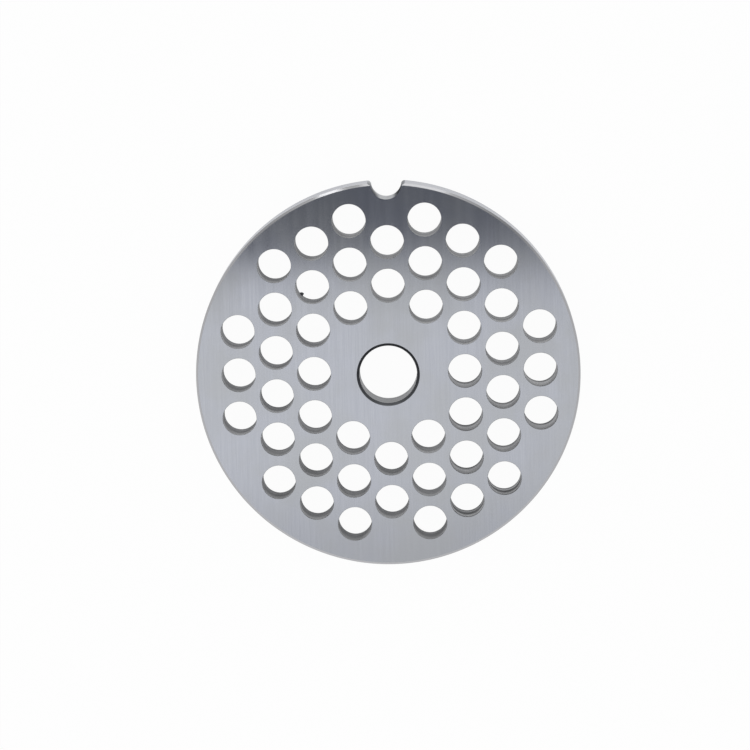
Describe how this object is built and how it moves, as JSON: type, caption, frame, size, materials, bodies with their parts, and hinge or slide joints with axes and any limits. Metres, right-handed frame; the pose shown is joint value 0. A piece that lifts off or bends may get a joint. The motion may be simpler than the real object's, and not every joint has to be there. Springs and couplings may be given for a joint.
{
  "type": "meat grinder plate",
  "caption": "Flat round meat grinder plate with a hexagonal field of round cutting holes, a chamfered centre bore and a half-round locking notch in the rim.",
  "frame": {"origin": "middle of the lower face, on the axis of the centre bore", "axes": "+Z through the plate to its cutting face, +Y from the axis through the locking notch, +X to the right seen from above"},
  "size_m": [0.07, 0.0699, 0.008],
  "materials": {
    "ground_steel": "fine straight-ground faces, drilled hole walls and a turned rim"
  },
  "bodies": {
    "root": {"grinder_plate": "ground_steel"}
  },
  "joints": []
}
